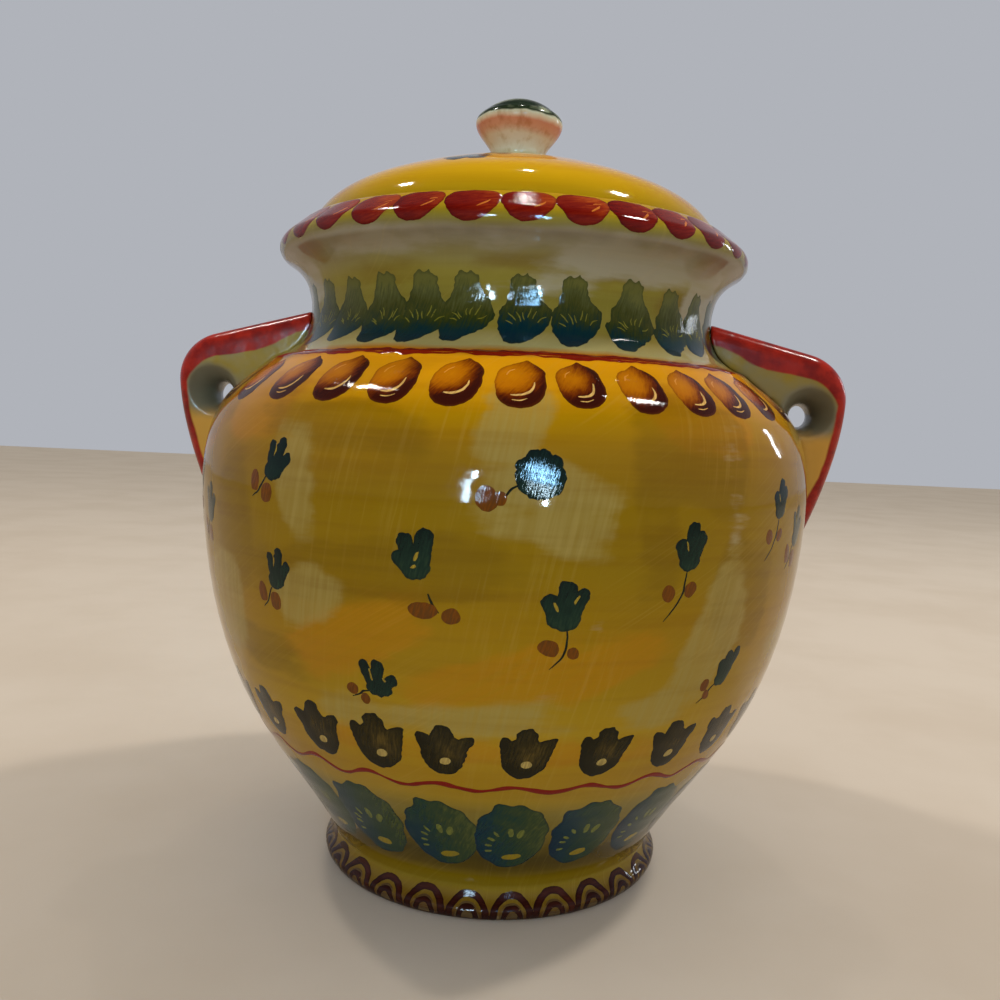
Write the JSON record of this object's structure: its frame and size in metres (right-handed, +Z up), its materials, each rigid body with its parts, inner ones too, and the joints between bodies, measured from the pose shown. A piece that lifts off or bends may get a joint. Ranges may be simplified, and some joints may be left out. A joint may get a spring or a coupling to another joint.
{
  "type": "biscuit jar",
  "caption": "Round-bellied glazed earthenware biscuit jar with a flaring rim, pierced lug handles and an inset domed lid with a mushroom knob.",
  "frame": {"origin": "centre of the circle that the foot ring stands on", "axes": "+Z up along the axis of the jar, +X towards the right-hand handle, -Y towards the front"},
  "size_m": [0.2216, 0.2002, 0.2562],
  "materials": {
    "jar_glaze": "brushed ochre and cream yellow ground with painted ornament under a clear gloss glaze",
    "handle_glaze": "dark red brushed bands over a cream ground under a clear gloss glaze",
    "lid_glaze": "bright yellow brushed ground with small leaf sprigs under a clear gloss glaze",
    "knob_glaze": "dark green cap over an orange brown band and a cream stem under a clear gloss glaze"
  },
  "bodies": {
    "jar": {"jar_body": "jar_glaze", "left_handle": "handle_glaze", "right_handle": "handle_glaze"},
    "lid": {"lid": "lid_glaze", "lid_knob": "knob_glaze"}
  },
  "joints": [
    {"name": "lid_lift", "type": "slide", "parent": "jar", "child": "lid", "axis": [0, 0, 1], "range_m": [0, 0.06]}
  ]
}
